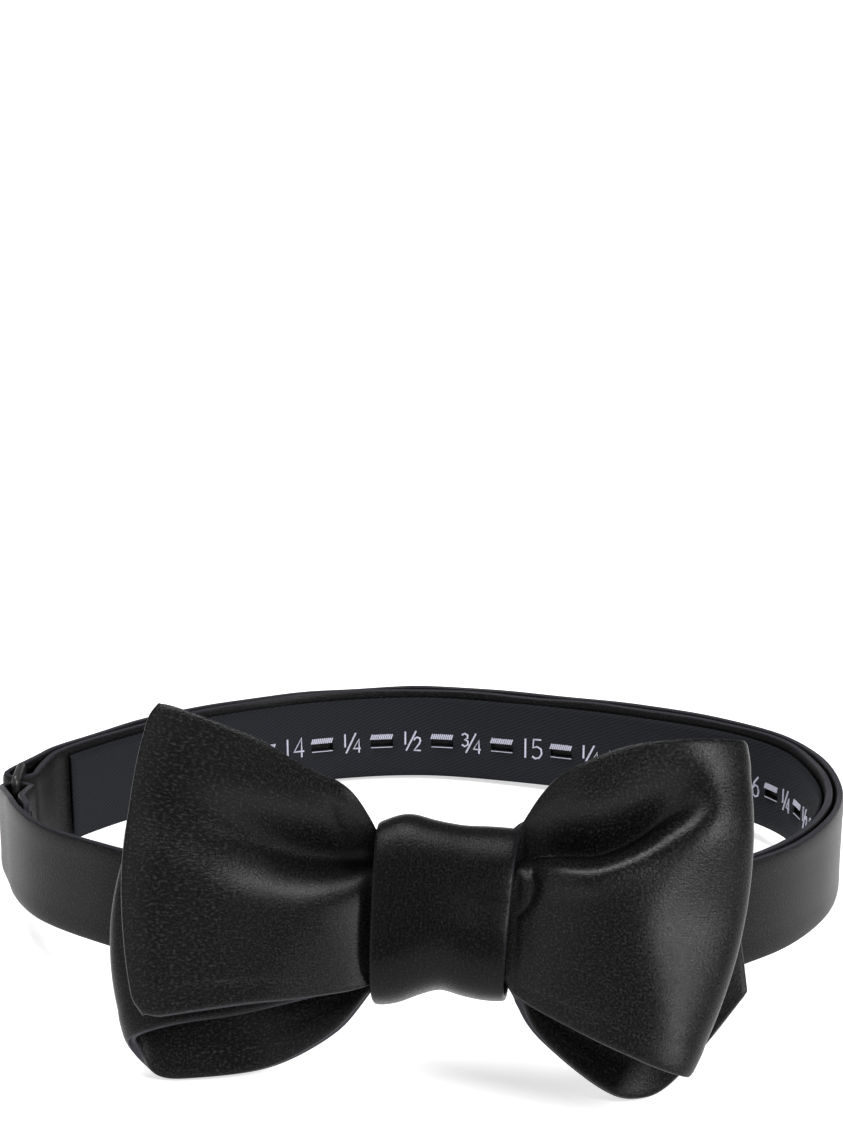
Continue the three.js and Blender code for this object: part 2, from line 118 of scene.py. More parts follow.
def new_object(name, bm):
    mesh = bpy.data.meshes.new(name)
    bm.to_mesh(mesh)
    bm.free()
    for polygon in mesh.polygons:
        polygon.use_smooth = True
    obj = bpy.data.objects.new(name, mesh)
    bpy.context.scene.collection.objects.link(obj)
    return obj


def pillow(name, columns, rows, place, size, closed=False):
    """A closed slab of cloth, which place(u, v, side) shapes. Side runs from 1 on the face to -1 behind."""
    bm = bmesh.new()
    where = bm.verts.layers.float_vector.new("where")
    bmesh.ops.create_grid(bm, x_segments=columns, y_segments=rows, size=1.0)
    for vert in bm.verts:
        vert[where] = Vector(((vert.co.x + 1) / 2, (vert.co.y + 1) / 2, 1))
    if closed:
        first = {round(v.co.y, 5): v for v in bm.verts if v.co.x < -0.9999}
        ends = {v: first[round(v.co.y, 5)] for v in bm.verts if v.co.x > 0.9999}
        bmesh.ops.weld_verts(bm, targetmap=ends)
    copied = bmesh.ops.duplicate(bm, geom=bm.verts[:] + bm.edges[:] + bm.faces[:])["geom"]
    bmesh.ops.reverse_faces(bm, faces=[f for f in copied if isinstance(f, bmesh.types.BMFace)])
    for vert in copied:
        if isinstance(vert, bmesh.types.BMVert):
            vert[where].z = -1
            vert.co.z = -0.01
    rim = [e for e in bm.edges if e.is_boundary]
    if closed:
        for end in (-1, 1):
            bmesh.ops.bridge_loops(bm, edges=[e for e in rim if e.verts[0].co.y * end > 0])
    else:
        bmesh.ops.bridge_loops(bm, edges=rim)
    across = [e for e in bm.edges if abs(e.verts[0].co.z - e.verts[1].co.z) > 0.005]
    bmesh.ops.subdivide_edges(bm, edges=across, cuts=3)
    # Painted highlight: the rim attribute marks the lips between face and back, which the satin paints
    # lighter.
    painted_rim_highlight = bm.verts.layers.float.new("rim")
    for vert in bm.verts:
        side = 1 + 200 * vert.co.z
        u, v = (vert.co.x + 1) / 2, (vert.co.y + 1) / 2
        vert[where] = Vector((u, v, side))
        vert[painted_rim_highlight] = 1.0 if abs(side) < 0.9 else 0.0
    for vert in bm.verts:
        u, v, side = vert[where]
        vert.co = place(u, v, side) * MM
    lay_uv(bm, where, size, closed)
    bmesh.ops.recalc_face_normals(bm, faces=bm.faces)
    return new_object(name, bm)


def lay_uv(bm, where, size, closed=False):
    """Lays the cloth coordinates, in millimetres, on every face."""
    uv = bm.loops.layers.uv.new("cloth")
    for face in bm.faces:
        wraps = closed and max(loop.vert[where].x for loop in face.loops) > 0.75
        for loop in face.loops:
            u, v, _ = loop.vert[where]
            if wraps and u < 0.25:
                u += 1
            loop[uv].uv = (u * size[0], v * size[1])


SEAM_RIM = (0.55, 0.1, 1.0)
FOLDED_RIM = (0.35, 0.05, 0.25)
HEMMED_RIM = (0.35, 0.05, 0.0)
LIP_LIFT = (0.85, 0.55, 0.0)


def padded_cloth(surface, half, rim=SEAM_RIM):
    """Turns a middle surface into a place() for pillow(), with rounded lips along its edges.

    The rim says how far the edge is drawn in at the lip, below it and in the groove between the lips.
    """
    step = 1e-3

    def place(u, v, side):
        u0, u1 = max(0, u - step), min(1, u + step)
        v0, v1 = max(0, v - step), min(1, v + step)
        across = (surface(u1, v) - surface(u0, v)) / (u1 - u0)
        upwards = (surface(u, v1) - surface(u, v0)) / (v1 - v0)
        normal = across.cross(upwards).normalized()
        at_edge = u < 1e-5 or u > 1 - 1e-5 or v < 1e-5 or v > 1 - 1e-5
        thick = half(u, v)
        if at_edge:
            part = 2 if abs(side) < 0.25 else 1 if abs(side) < 0.75 else 0
            inset, lift = rim[part], LIP_LIFT[part]
            if u < 1e-5 or u > 1 - 1e-5:
                u += math.copysign(inset / across.length, 0.5 - u)
            if v < 1e-5 or v > 1 - 1e-5:
                v += math.copysign(inset / upwards.length, 0.5 - v)
            return surface(u, v) + normal * thick * lift * math.copysign(1, side)
        return surface(u, v) + normal * thick * side

    return place


def subdivide(obj):
    modifier = obj.modifiers.new("Smooth surface", "SUBSURF")
    modifier.levels = 1
    modifier.render_levels = 1
    return obj


def swept(name, data):
    """Turns a curve with a round section into a mesh object."""
    path = bpy.data.objects.new(name + "_path", data)
    bpy.context.scene.collection.objects.link(path)
    mesh = bpy.data.meshes.new_from_object(path)
    bpy.data.objects.remove(path)
    obj = bpy.data.objects.new(name, mesh)
    bpy.context.scene.collection.objects.link(obj)
    return obj


def finish_piece(obj, material, body, nodes=(), hinge=None):
    """Gives a piece its material, attaches it to its body and hides the parts it replaces. A wing's hinge
    is the side of the knot that it is on; a wing is not attached but baked in place.
    """
    obj.data.materials.clear()
    obj.data.materials.append(material)
    if hinge:
        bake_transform(obj)
    else:
        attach(obj, body)
    if nodes:
        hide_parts(*nodes)
    return obj


# ---------------------------------------------------------------- wings

# Edge of the knot, reach and rise of a wing, and the depth of its tuck inside the knot.
ROOT = 12.1
REACH = 37.0
RISE = 30.0
TUCK = 3.0


def outline(points, side):
    """Edge of a wing through points given in shares of its reach and rise."""
    scaled = [(side * (ROOT + reach * REACH), rise * RISE) for reach, rise in points]
    return lambda t: through(scaled, t)


def tucked(t, share):
    """Splits t into the short gathered tuck inside the knot and the open wing."""
    return max(0.0, (t - share) / (1 - share)), max(0.0, (share - t) / share)


GATHERED_SHARE = 0.12


def gathered(side, a, b, out, t, tuck, draw=0.5):
    """Point of a wing whose inner edge is drawn back and into the opening of the knot."""
    near = 1 - smooth(t / GATHERED_SHARE)
    b = b * (1 - 0.03 * near - 0.2 * smooth(tuck))
    return in_bow(a - side * TUCK * tuck, b, out - draw * near)


def rounded(a, b, corner, radius):
    """Rounds a corner of a blade by drawing the cloth near it towards the middle."""
    away = math.hypot(a - corner[0], b - corner[1])
    pull = 0.3 * radius * max(0.0, 1 - away / radius) ** 1.5
    return a - math.copysign(pull, corner[0]), b - math.copysign(pull, corner[1])


def across_wing(low, high, v, swell):
    """Point at v between the two edges of a wing, whose outer edge swells out in the middle."""
    a = mix(low[0], high[0], v) + swell * 4 * v * (1 - v)
    return a, mix(low[1], high[1], v)


def ripples(along, up, seed, size):
    """Soft unevenness of the cloth."""
    return noise.noise(Vector((along / size, up / size, seed)))


def front_left_surface(u, v):
    """The left blade: a padded swell with a deep pleat, small creases at the knot and ripples."""
    t, tuck = tucked(1 - u, BLADE_TUCK)
    a, b = across_wing(FRONT_LEFT_LOW(t), FRONT_LEFT_HIGH(t), v, -0.11 * REACH * t * t)
    out = 3.6 + 3.3 * math.sin(math.pi * t * 0.9)
    floor, depth = through(LEFT_VALLEY, (-ROOT - a) / VALLEY_RUN)
    out -= depth * lopsided(b, floor, 4.2 + 2.4 * smooth(t * 1.4), 3.8 + 3.0 * t)
    out += 0.7 * hump(b, -2.5, 6.5) * hump(a, -19.5, 7.0)
    out += 1.0 * hump(b, 15.5, 4.0) * hump(a, -17.0, 6.0)
    out -= 0.9 * hump(a + 0.35 * b, -14.6, 1.1) * hump(b, 12.0, 2.6)
    out += 0.9 * ripples(a, b, 1.7, 17) * t
    a, b = rounded(a, b, FRONT_LEFT_HIGH(1), 3.4)
    a, b = rounded(a, b, FRONT_LEFT_LOW(1), 4.4)
    return gathered(-1, a, b, out, t, tuck)


# Share of a blade, and of a loop's leg, that is tucked into the knot.
BLADE_TUCK = 0.07
LOOP_TUCK = 0.06

# Height and depth of the deep pleat along a wing, every 6 mm from the knot.
VALLEY_RUN = 36
LEFT_VALLEY = [(6.2, 4.6), (5.8, 6.9), (6.0, 7.3), (7.4, 6.5), (9.0, 4.9), (10.8, 2.8), (12.0, 1.2)]
RIGHT_VALLEY = [(6.2, 4.6), (6.8, 7.0), (7.0, 7.8), (9.6, 7.4), (13.6, 4.6), (16.0, 0.6), (18.0, 0.0)]

# Where the right wing turns away to its folded edge, every 8 mm up from its lower corner.
CREST_FOOT = -28
CREST_RISE = 56
RIGHT_CREST = [(39.0,), (36.5,), (33.8,), (33.4,), (37.0,), (41.5,), (39.5,), (38.0,)]


def loop_surface(side, middle, half, edges, bulge, draw):
    """Middle of a folded wing: out along the front leg, round the fold and back along the rear leg."""
    high_edge, front_edge, rear_edge = edges

    def surface(u, v):
        from_fold = (2 * u - 1) * side
        along, tuck = tucked(1 - abs(from_fold), LOOP_TUCK)
        t = 1 - (1 - along) ** 1.6
        rear = smooth(0.5 + from_fold * 1.2)
        high, front, back = high_edge(t), front_edge(t), rear_edge(t)
        low = (mix(front[0], back[0], rear), mix(front[1], back[1], rear))
        a, b = across_wing(low, high, v, side * bulge * REACH * t * t)
        leg = -1 if from_fold > 0 else 1
        opening = half(t, v) * math.sqrt(max(0.0, 1 - t ** 8))
        out = middle(t, v, rear, a, b) + leg * opening
        return gathered(side, a, b, out, along, tuck, draw)

    return surface


# Outlines of the wings: the loops have an upper edge and a lower edge of the front and of the rear leg.
FRONT_LEFT_HIGH = outline([(0, 0.35), (0.12, 0.54), (0.35, 0.68), (0.58, 0.83), (1.02, 1.02)], -1)
FRONT_LEFT_LOW = outline([(0, -0.55), (0.29, -0.63), (0.55, -0.68), (1.0, -0.78)], -1)
FRONT_RIGHT_EDGES = (
    outline([(0, 0.43), (0.13, 0.62), (0.28, 0.73), (0.5, 0.83), (0.93, 0.9)], 1),
    outline([(0, -0.58), (0.37, -0.81), (0.735, -0.99)], 1),
    outline([(0, -0.5), (0.37, -0.72), (0.725, -0.9)], 1),
)
BACK_LEFT_EDGES = (
    outline([(0, 0.33), (0.4, 0.5), (1.05, 0.5)], -1),
    outline([(0, -0.48), (0.3, -0.6), (0.65, -0.71), (1.07, -0.78)], -1),
    outline([
        (0, -0.53), (0.13, -0.72), (0.3, -0.86), (0.5, -0.96), (0.77, -1.02), (0.98, -1.03), (1.08, -0.93),
    ], -1),
)
BACK_RIGHT_HIGH = outline([(0, 0.33), (0.43, 0.5), (0.86, 0.5)], 1)
BACK_RIGHT_LOW = outline([
    (0, -0.58), (0.1, -0.75), (0.35, -0.98), (0.52, -1.04), (0.7, -0.92), (1.01, -0.42),
], 1)

# Clear distance between the two legs of the right loop under its pleat.
LEG_CLEARANCE = 1.9


def front_right_middle(t, v, rear, a, b):
    """The right loop: a pleat and a small tuck on its front leg, and a fold turned away at its end.

    Where the pleat is deeper than the loop is open, it pushes the rear leg back.
    """
    front = 1 - rear
    out = 3.1 + 2.6 * math.sin(math.pi * t * 0.8)
    floor, depth = through(RIGHT_VALLEY, (a - ROOT) / VALLEY_RUN)
    dip = depth * lopsided(b, floor, 1.6 + 1.6 * t, 5.0 + 1.0 * t)
    pushed = dip + LEG_CLEARANCE - 2 * front_right_half(t, v)
    out -= front * dip + rear * 0.5 * (pushed + math.hypot(pushed, 0.7))
    out += front * 1.8 * hump(b, floor - 4.4, 3.0) * hump(a, 21.0, 8.0)
    out -= front * 1.5 * hump(a, 14.6 - 0.1 * (b - 1) ** 2, 0.9) * hump(b, 1.0, 4.0)
    past = a - through(RIGHT_CREST, (b - CREST_FOOT) / CREST_RISE)[0]
    out -= 0.155 * (past + math.hypot(past, 2.4))
    out += front * 0.8 * ripples(a, b, 5.3, 16) * smooth(t * 2)
    return out


def front_right_half(t, v):
    return mix(1.5, 3.1, smooth(t * 2))


def back_left_middle(t, v, rear, a, b):
    out = -3.0 - mix(4.2, 1.2, v) * smooth(t * 1.6)
    return out + 0.7 * ripples(a, b, 9.1, 13) * smooth(t * 2)


def back_left_half(t, v):
    return mix(1.5, mix(4.4, 2.0, v), smooth(t * 1.8))


def back_right_surface(u, v):
    """The right blade behind the loop, whose lower part leans back."""
    t, tuck = tucked(u, BLADE_TUCK)
    a, b = across_wing(BACK_RIGHT_LOW(t), BACK_RIGHT_HIGH(t), v, 0.005 * REACH * t * t)
    out = -2.8 - mix(8.0, 2.0, smooth(v * 1.4)) * math.sin(math.pi * min(1, t * 1.2) * 0.5)
    out += 1.2 * hump(v, 0.5, 0.2) * (1 - t) * smooth(t * 6)
    out += 0.8 * ripples(a, b, 3.3, 12) * smooth(t * 2)
    return gathered(1, a, b, out, t, tuck, 0.0)


def seam_half(length, height, base=0.85, ridge=0.22, width=4.0):
    """Half thickness of a seamed panel: the seam allowances inside raise a low border."""

    def half(u, v):
        near = min(u * length, (1 - u) * length, v * height, (1 - v) * height)
        return base + ridge * (1 - smooth((near - width) / 0.8))

    return half


# ---------------------------------------------------------------- neckband

# The loop round the neck, and the move from the drawing to the middle of the finished tie.
NECK_HALF_WIDTH = 79.0
NECK_DEPTH = 150.0
BACK_OF_NECK = 114.0
SHIFT = Vector((0.603, -26.95, 0.207))

# The band, the distance between its two legs, and its folds round the ring.
BAND_HEIGHT = 20.0
KNOT_BAND_HEIGHT = 13.5
BAND_CLIMB = 0.071
CLOTH_SHARE = 0.97
LEG_PITCH = 2.1
RING_INSET = 1.6
FOLD_RADIUS = 2.9
FOLD_HEIGHT = 17.3
RING_INNER_HEIGHT = 17.6
RING_PITCH = 8.8
RING_WIRE = 1.6
PANEL_HALF = 1.05

# Plan of the band in shares of the half width and of the depth, from the knot on.
LONG_PLAN = [
    (0.456, 0.08), (0.734, 0.175), (0.905, 0.3), (0.99, 0.44), (1.0, 0.56), (0.956, 0.693),
    (0.835, 0.793), (0.57, 0.893), (0.266, 0.967), (0, 1), (-0.278, 0.977), (-0.582, 0.887),
    (-0.81, 0.76), (-0.962, 0.633), (-1.0, 0.573),
]
SHORT_PLAN = [
    (-1.0, 0.513), (-0.968, 0.427), (-0.905, 0.347), (-0.785, 0.267), (-0.671, 0.213), (-0.45, 0.16),
    (-0.3, 0.095),
]

# The size tape and its slots, along the strap and up from its lower edge.
TAPE_START = 5.0
TAPE_THICKNESS = 0.0004
SLOT_PITCH = 12.7 / FINISHED_SHARE
SLOT_COUNT = 17
FIRST_SLOT = 59.0
SLOT_LENGTH = 5.0
SLOT_HEIGHT = 1.5
SLOT_LEVEL = 0.41
HOOKED_SLOT = 12
STRAP_LENGTH = 288.0
TAPE_LOW = PANEL_HALF + 0.3
TAPE_HIGH = TAPE_LOW + 0.4


class Column:
    """One upright line of the band: its middle, its up direction and its height."""

    def __init__(self, middle, up, height):
        self.middle, self.up, self.height = middle, up, height
        self.tangent = self.normal = None


def on_plan(point):
    """Middle of the band at a point of its plan. The band climbs from the back of the neck to the knot."""
    y = BACK_OF_NECK - (1 - point[1]) * NECK_DEPTH
    lift = BAND_HEIGHT / 2 + BAND_CLIMB * max(0.0, BACK_OF_NECK - 0.015 * NECK_DEPTH - y)
    return Vector((point[0] * NECK_HALF_WIDTH, y, lift)) + SHIFT


def centripetal(points, samples=60):
    """Dense points along a centripetal curve through the given points."""
    padded = [points[0] * 2 - points[1], *points, points[-1] * 2 - points[-2]]
    dense = []
    for i in range(1, len(padded) - 2):
        p0, p1, p2, p3 = padded[i - 1 : i + 3]
        d0, d1, d2 = ((b - a).length ** 0.5 or 1.0 for a, b in ((p0, p1), (p1, p2), (p2, p3)))
        low = ((p1 - p0) / d0 - (p2 - p0) / (d0 + d1) + (p2 - p1) / d1) * d1
        high = ((p2 - p1) / d1 - (p3 - p1) / (d1 + d2) + (p3 - p2) / d2) * d1
        for k in range(samples):
            dense.append(cubic(p1, p2, low, high, k / samples))
    return dense + [points[-1].copy()]


def evenly(points, count):
    """Resamples a dense line of points to count + 1 evenly spaced ones, and gives its length."""
    runs = [0.0]
    for a, b in zip(points, points[1:]):
        runs.append(runs[-1] + (b - a).length)
    result, i = [], 0
    for k in range(count + 1):
        goal = runs[-1] * k / count
        while i < len(points) - 2 and runs[i + 1] < goal:
            i += 1
        share = (goal - runs[i]) / max(1e-9, runs[i + 1] - runs[i])
        result.append(points[i].lerp(points[i + 1], min(1.0, share)))
    return result, runs[-1]


def band_columns(plan, count, side):
    """Columns along a band. Side is 1 for the long band, right of the knot, and -1 for the short one."""
    points = [on_plan(p) for p in plan]
    entry = in_bow(side * 9.2, -1.9, -8.45)
    outside = in_bow(side * 16.2, -1.9, -8.95)
    points = [entry, outside, *points] if side > 0 else [*points, outside, entry]
    middles, length = evenly(centripetal(points), count)
    columns = []
    for i, middle in enumerate(middles):
        run = (i if side > 0 else count - i) / count * length
        up = UP.lerp(Z, smooth((run - 6) / 45)).normalized()
        columns.append(Column(middle, up, mix(KNOT_BAND_HEIGHT, BAND_HEIGHT, smooth((run - 4) / 26))))
    return orient(columns)


def orient(columns):
    """Gives the columns their direction along the band and their outward normal."""
    for i, column in enumerate(columns):
        before = columns[max(0, i - 1)].middle
        after = columns[min(len(columns) - 1, i + 1)].middle
        column.tangent = (after - before).normalized()
        column.normal = column.tangent.cross(column.up).normalized()
    return columns


def behind(columns, distance):
    return [Column(c.middle - c.normal * distance, c.up, c.height) for c in columns]


RING_MIDDLE = on_plan((-1.0, 0.543)) + Vector((RING_INSET, 0, 0))
LONG_BAR = RING_MIDDLE + Vector((0, RING_PITCH / 2, 0))
SHORT_BAR = RING_MIDDLE - Vector((0, RING_PITCH / 2, 0))


def clear_of(columns, bar, distance=9.0):
    return [c for c in columns if (c.middle - bar).xy.length > distance]


def fold(bar, travel, outwards, steps=14):
    """Columns of the half turn of a band round a bar of the ring."""
    columns = []
    for i in range(steps + 1):
        angle = math.pi * i / steps
        middle = bar + outwards * (FOLD_RADIUS * math.cos(angle))
        middle += travel * (FOLD_RADIUS * math.sin(angle))
        columns.append(Column(middle, Z, FOLD_HEIGHT))
    return columns


def eased(columns, passes=2):
    """Smooths the height of the columns, so the gathers at the ring run in softly."""
    for _ in range(passes):
        heights = [c.height for c in columns]
        for i in range(1, len(columns) - 1):
            columns[i].height = (heights[i - 1] + 2 * heights[i] + heights[i + 1]) / 4
    return columns


def lay_bands():
    """Columns of the long band with its strap, of the strap alone, and of the short band."""
    long_outer = clear_of(band_columns(LONG_PLAN, 150, 1), LONG_BAR)
    long_outer = [c for c in long_outer if c.middle.y > LONG_BAR.y or c.middle.x > 0]
    strap, run = [], 0.0
    whole = behind(long_outer, LEG_PITCH)[::-1]
    for i, column in enumerate(whole):
        if i:
            run += (column.middle - whole[i - 1].middle).length
        if run < STRAP_LENGTH:
            strap.append(column)
    bend = fold(LONG_BAR, Vector((0, -1, 0)), Vector((-1, 0, 0)))
    long_band = eased(orient([*long_outer, *bend, *strap]))
    orient(strap)
    short_outer = clear_of(band_columns(SHORT_PLAN, 56, -1), SHORT_BAR)
    short_outer = [c for c in short_outer if c.middle.y < SHORT_BAR.y]
    back = behind(short_outer, LEG_PITCH)[:5][::-1]
    short_bend = fold(SHORT_BAR, Vector((0, 1, 0)), Vector((1, 0, 0)))
    short_band = eased(orient([*back, *short_bend, *short_outer]))
    return long_band, strap, short_band


LONG_BAND, STRAP, SHORT_BAND = lay_bands()


def column_surface(columns):
    """Middle surface of a band through its columns."""
    last = len(columns) - 1

    def surface(u, v):
        place = u * last
        i = min(int(place), last - 1)
        w = place - i
        a, b = columns[i], columns[i + 1]
        half = mix(a.height, b.height, w) / 2
        up = a.up.lerp(b.up, w)
        return a.middle.lerp(b.middle, w) + up * (CLOTH_SHARE * mix(-half, half, v))

    return surface


def strap_point(distance, rise, out):
    """Point on the strap, at a distance from its first column, above its slot line and off its face."""
    run = 0.0
    for a, b in zip(STRAP, STRAP[1:]):
        step = (b.middle - a.middle).length
        if run + step >= distance:
            w = (distance - run) / step
            break
        run += step
    normal = a.normal.lerp(b.normal, w).normalized()
    up = a.up.lerp(b.up, w).normalized()
    lift = (SLOT_LEVEL - 0.5) * BAND_HEIGHT + rise
    return a.middle.lerp(b.middle, w) + up * lift + normal * out


def strap_frame(distance):
    """Middle of the slot line at a distance, with the directions along, up and off the strap."""
    tangent = (strap_point(distance + 1, 0, 0) - strap_point(distance - 1, 0, 0)).normalized()
    up = (strap_point(distance, 1, 0) - strap_point(distance, 0, 0)).normalized()
    normal = tangent.cross(up).normalized()
    return strap_point(distance, 0, 0), tangent, normal.cross(tangent), normal


# ---------------------------------------------------------------- materials


class Nodes:
    """Small helper that adds and links shader nodes."""

    def __init__(self, name):
        old = bpy.data.materials.get(name)
        if old:
            bpy.data.materials.remove(old)
        self.material = bpy.data.materials.new(name)
        self.material.use_nodes = True
        self.tree = self.material.node_tree
        self.shader = self.tree.nodes["Principled BSDF"]

    def add(self, kind, inputs=None, **settings):
        node = self.tree.nodes.new(kind)
        for key, value in settings.items():
            setattr(node, key, value)
        for key, value in (inputs or {}).items():
            if isinstance(value, bpy.types.NodeSocket):
                self.tree.links.new(value, node.inputs[key])
            else:
                node.inputs[key].default_value = value
        return node

    def link(self, source, target):
        self.tree.links.new(source, target)

    def set(self, **values):
        for key, value in values.items():
            self.shader.inputs[key.replace("_", " ")].default_value = value

    def cloth(self):
        """The piece's own cloth coordinates, in millimetres."""
        return self.add("ShaderNodeUVMap", uv_map="cloth").outputs["UV"]

    def place(self):
        return self.add("ShaderNodeTexCoord").outputs["Object"]

    def mapped(self, vector, scale=(1, 1, 1), turn=0.0):
        inputs = {"Vector": vector, "Scale": scale, "Rotation": (0, 0, turn)}
        return self.add("ShaderNodeMapping", inputs).outputs[0]

    def noise(self, vector, scale, detail=2.0, roughness=0.5):
        inputs = {"Vector": vector, "Scale": scale, "Detail": detail, "Roughness": roughness}
        return self.add("ShaderNodeTexNoise", inputs).outputs["Fac"]

    def ranged(self, value, low, high, start=0.0, stop=1.0):
        inputs = {"Value": value, "From Min": start, "From Max": stop, "To Min": low, "To Max": high}
        return self.add("ShaderNodeMapRange", inputs).outputs[0]

    def math(self, operation, *values):
        return self.add("ShaderNodeMath", dict(enumerate(values)), operation=operation).outputs[0]

    def scaled(self, colour, factor):
        return self.add("ShaderNodeVectorMath", {0: colour, "Scale": factor}, operation="SCALE").outputs[0]

    def colour(self, source):
        self.link(source, self.shader.inputs["Base Color"])

    def roughness(self, source):
        self.link(source, self.shader.inputs["Roughness"])

    def bump(self, height, strength, distance):
        inputs = {"Height": height, "Strength": strength, "Distance": distance}
        node = self.add("ShaderNodeBump", inputs)
        self.link(node.outputs[0], self.shader.inputs["Normal"])


def satin(name, colour, roughness, ior=1.25):
    """Woven satin: fine yarns, a grain with painted glints, cloudy tone and a seam rim painted lighter as a
    highlight.
    """
    m = Nodes(name)
    m.set(Roughness=roughness, IOR=ior)
    uv = m.cloth()
    yarn = m.noise(m.mapped(uv, (0.8, 4.5, 1), 0.35), 1.0, 3.0, 0.7)
    grain = m.noise(uv, 2.6, 2.0, 0.65)
    cloud = m.noise(uv, 0.07, 3.0)
    tone = m.ranged(yarn, 0.6, 1.4, 0.25, 0.75)
    # Woven grain with painted glints: bright specks lift the colour up to four and a half times and stand
    # in for sparkles of light.
    grain_and_painted_glint = m.ranged(grain, 0.75, 4.5, 0.52, 0.68)
    level = m.math("MULTIPLY", tone, m.ranged(cloud, 0.8, 1.2))
    base = m.scaled(colour, m.math("MULTIPLY", level, grain_and_painted_glint))
    # Painted highlight: the lips marked by the rim attribute get a colour five times lighter and bluer.
    rim = m.add("ShaderNodeAttribute", attribute_name="rim")
    painted_edge_highlight = m.add("ShaderNodeMix", {"Factor": rim.outputs["Fac"]}, data_type="RGBA")
    painted_edge_highlight.inputs["B"].default_value = (colour[0] * 5, colour[1] * 5, colour[2] * 6, 1)
    m.link(base, painted_edge_highlight.inputs["A"])
    m.colour(painted_edge_highlight.outputs["Result"])
    m.roughness(m.ranged(grain, roughness - 0.15, roughness + 0.15))
    m.bump(m.math("MULTIPLY_ADD", grain, 1.6, yarn), 0.8, 0.00006)
    return m.material


def woven_tape(name, colour):
    """Dull woven tape with slanting ribs."""
    m = Nodes(name)
    m.set(Roughness=0.8, Specular_IOR_Level=0.12)
    uv = m.cloth()
    ribs = {"Vector": m.mapped(uv, turn=1.15), "Scale": 0.45, "Distortion": 1.2}
    rib = m.add("ShaderNodeTexWave", {**ribs, "Detail": 2.0, "Detail Scale": 2.0}).outputs["Fac"]
    m.colour(m.scaled(colour, m.ranged(rib, 0.75, 1.3)))
    m.bump(m.math("ADD", rib, m.noise(uv, 2.5, 3.0)), 0.5, 0.0001)
    return m.material


def thread(name, colour):
    """Twisted thread."""
    m = Nodes(name)
    m.set(Roughness=0.6)
    twist = m.noise(m.place(), 9000.0)
    m.colour(m.scaled(colour, m.ranged(twist, 0.6, 1.25)))
    m.bump(twist, 0.4, 0.00005)
    return m.material


def metal(name, colour, roughness, metallic=1.0):
    """Metal brushed along its height, with worn tone."""
    m = Nodes(name)
    m.set(Roughness=roughness, Metallic=metallic)
    place = m.place()
    brush = m.noise(m.mapped(place, (1, 1, 0.1)), 6000.0)
    wear = m.noise(place, 700.0, 3.0)
    m.colour(m.scaled(colour, m.ranged(wear, 0.8, 1.15)))
    m.roughness(m.ranged(brush, roughness - 0.08, roughness + 0.12))
    return m.material


# ---------------------------------------------------------------- settings


class BowTieCloth(bpy.types.PropertyGroup):
    """Colours and finish of the cloth."""

    satin_colour: bpy.props.FloatVectorProperty(
        name="Satin", description="Colour of the satin", subtype="COLOR", size=3,
        default=(0.0049, 0.0049, 0.0051), min=0, max=1,
    )
    satin_roughness: bpy.props.FloatProperty(
        name="Satin roughness", description="How matt the satin is",
        default=0.3, min=0.1, max=1, subtype="FACTOR",
    )
    tape_colour: bpy.props.FloatVectorProperty(
        name="Size tape", description="Colour of the woven size tape", subtype="COLOR", size=3,
        default=(0.0105, 0.0115, 0.0145), min=0, max=1,
    )
    mark_colour: bpy.props.FloatVectorProperty(
        name="Marks", description="Colour of the woven size marks", subtype="COLOR", size=3,
        default=(0.46, 0.46, 0.56), min=0, max=1,
    )


class BowTieSizes(bpy.types.PropertyGroup):
    """Sizes of the details that the frame leaves open."""

    wing_thickness: bpy.props.FloatProperty(
        name="Wing thickness", description="Thickness of a wing away from its seams",
        default=0.0017, min=0.001, max=0.003, unit="LENGTH",
    )
    mark_height: bpy.props.FloatProperty(
        name="Numeral height", description="Height of the size numerals",
        default=0.0043, min=0.002, max=0.006, unit="LENGTH",
    )
    thread_width: bpy.props.FloatProperty(
        name="Mark thread", description="Width of a woven line of a numeral",
        default=0.00044, min=0.0001, max=0.001, unit="LENGTH",
    )


def cloth():
    return bpy.context.scene.bow_tie_cloth


def sizes():
    return bpy.context.scene.bow_tie_sizes


def satin_material():
    name = "Black satin"
    settings = cloth()
    found = bpy.data.materials.get(name)
    return found or satin(name, tuple(settings.satin_colour), settings.satin_roughness)


def band_satin():
    """The same satin on the band, where it is pressed flat and duller."""
    name = "Black satin band"
    settings = cloth()
    found = bpy.data.materials.get(name)
    return found or satin(name, tuple(settings.satin_colour), settings.satin_roughness + 0.06, 1.18)


def crosswise_satin_painted_shade():
    """The same satin seen across its yarns, where it shines less, with its colour halved as painted shade.
    """
    settings = cloth()
    # Painted shade: the colour is halved so that the knot looks darker than the wings.
    painted_shade_colour = tuple(channel * 0.5 for channel in settings.satin_colour)
    return satin("Black satin crosswise painted shade", painted_shade_colour, settings.satin_roughness, 1.2)


# ---------------------------------------------------------------- operators


class BOWTIE_OT_blades(bpy.types.Operator):
    """Build the two flat blade ends: front left and back right"""

    bl_idname = "bowtie.blades"
    bl_label = "Blade ends"

    def execute(self, context):
        base = sizes().wing_thickness * 500
        place = padded_cloth(front_left_surface, seam_half(40, 46, base))
        front = subdivide(pillow("front_left_wing", 44, 48, place, (40, 46)))
        finish_piece(front, satin_material(), "front_left_wing", (
            "front_left_blade_face", "front_left_blade_interlining", "front_left_blade_back"), -1)
        place = padded_cloth(back_right_surface, seam_half(38, 40, base))
        back = subdivide(pillow("back_right_wing", 40, 40, place, (38, 40)))
        finish_piece(back, satin_material(), "back_right_wing", (
            "back_right_blade_face", "back_right_blade_interlining", "back_right_blade_back"), 1)
        return {"FINISHED"}


